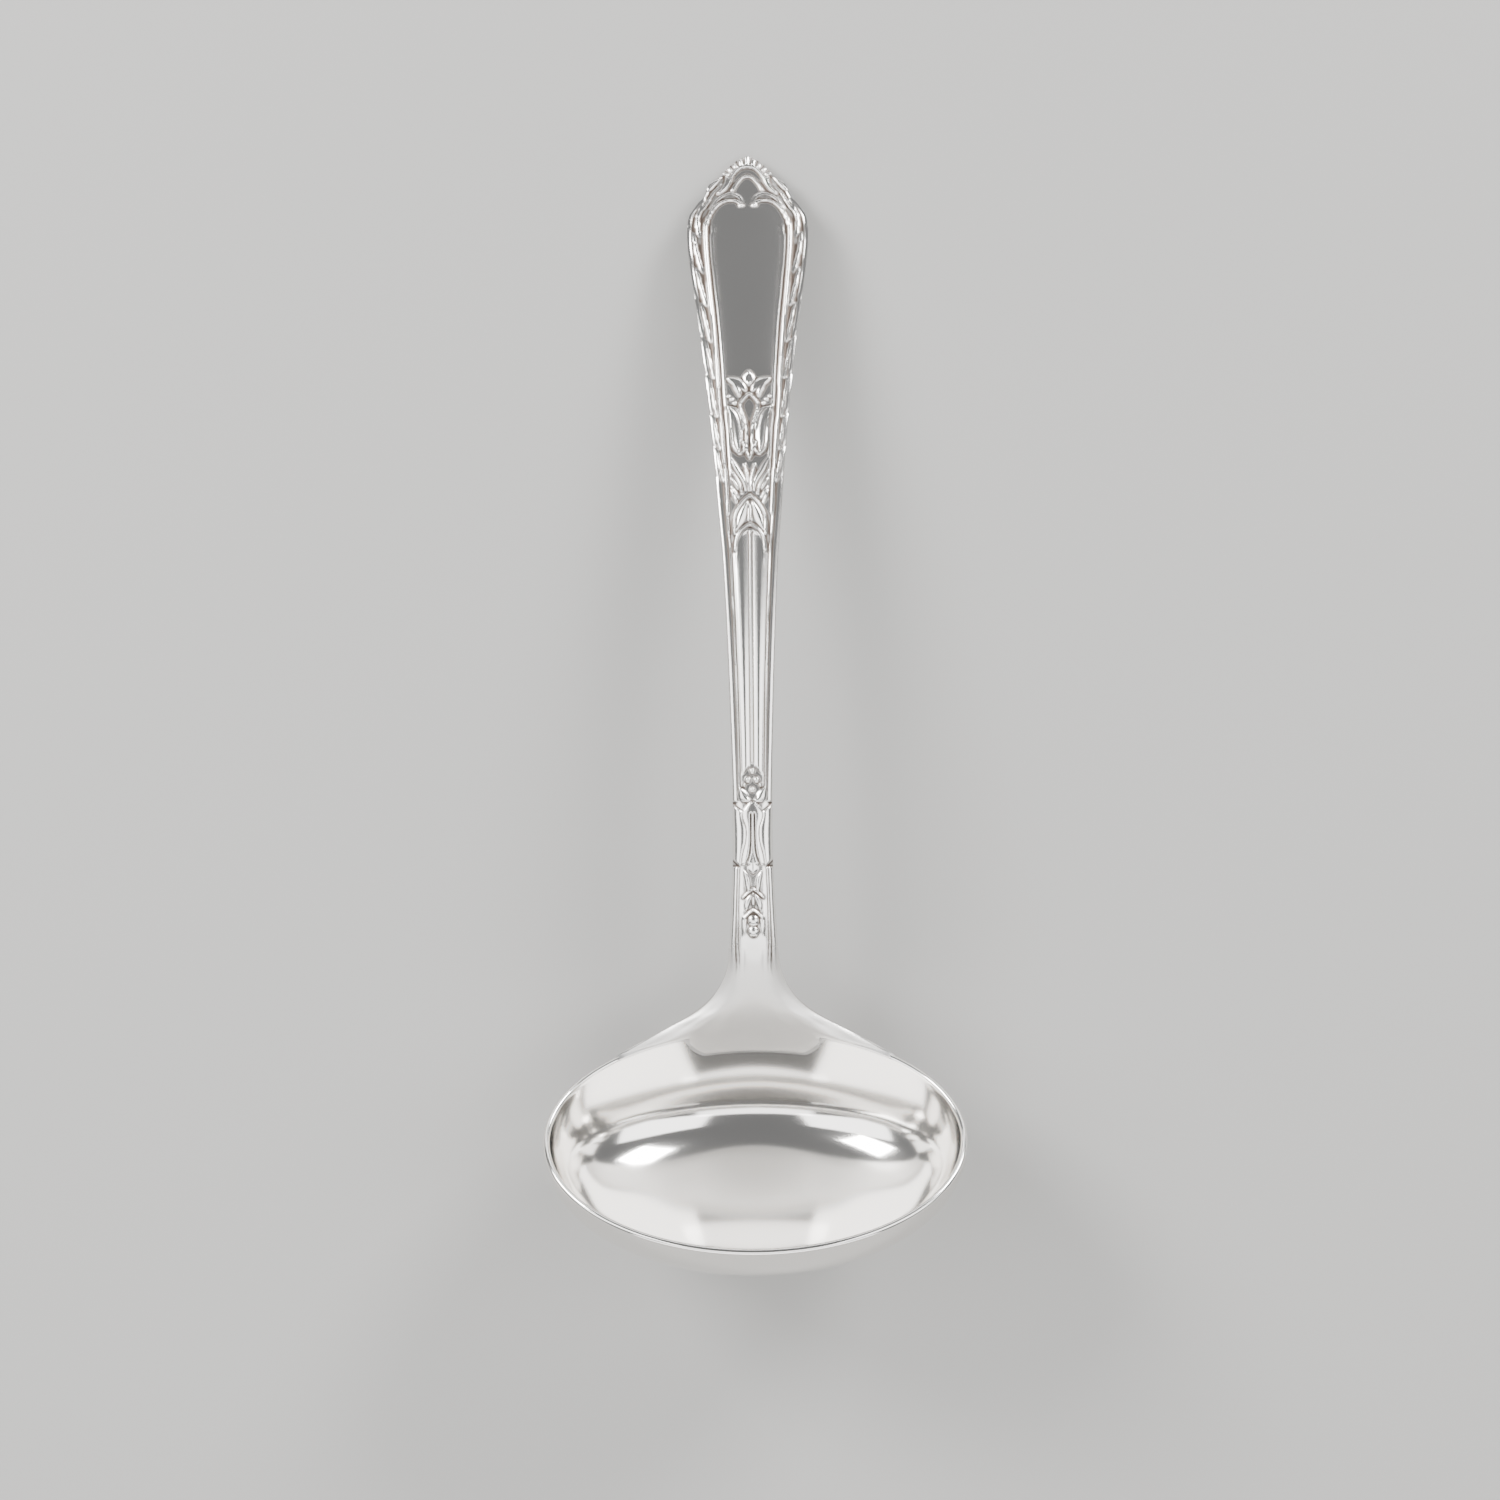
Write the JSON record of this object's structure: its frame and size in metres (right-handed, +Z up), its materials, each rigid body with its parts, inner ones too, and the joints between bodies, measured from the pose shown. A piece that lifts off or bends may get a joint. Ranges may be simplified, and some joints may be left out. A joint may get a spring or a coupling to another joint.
{
  "type": "gravy ladle",
  "caption": "Silver-plated gravy ladle with a wide oval bowl, a flared neck and an arched, ornamented handle, lying face up as it rests on a table.",
  "frame": {"origin": "on the table under the middle of the whole ladle", "axes": "+Z up from the table, +Y from the bowl toward the handle tip, +X across to the right when looking along +Y"},
  "size_m": [0.064, 0.1708, 0.0369],
  "materials": {
    "bowl_silver": "polished",
    "handle_silver": "polished",
    "silver_solder": "satin"
  },
  "bodies": {
    "root": {"bowl": "bowl_silver", "handle": "handle_silver", "solder_seam": "silver_solder"}
  },
  "joints": []
}
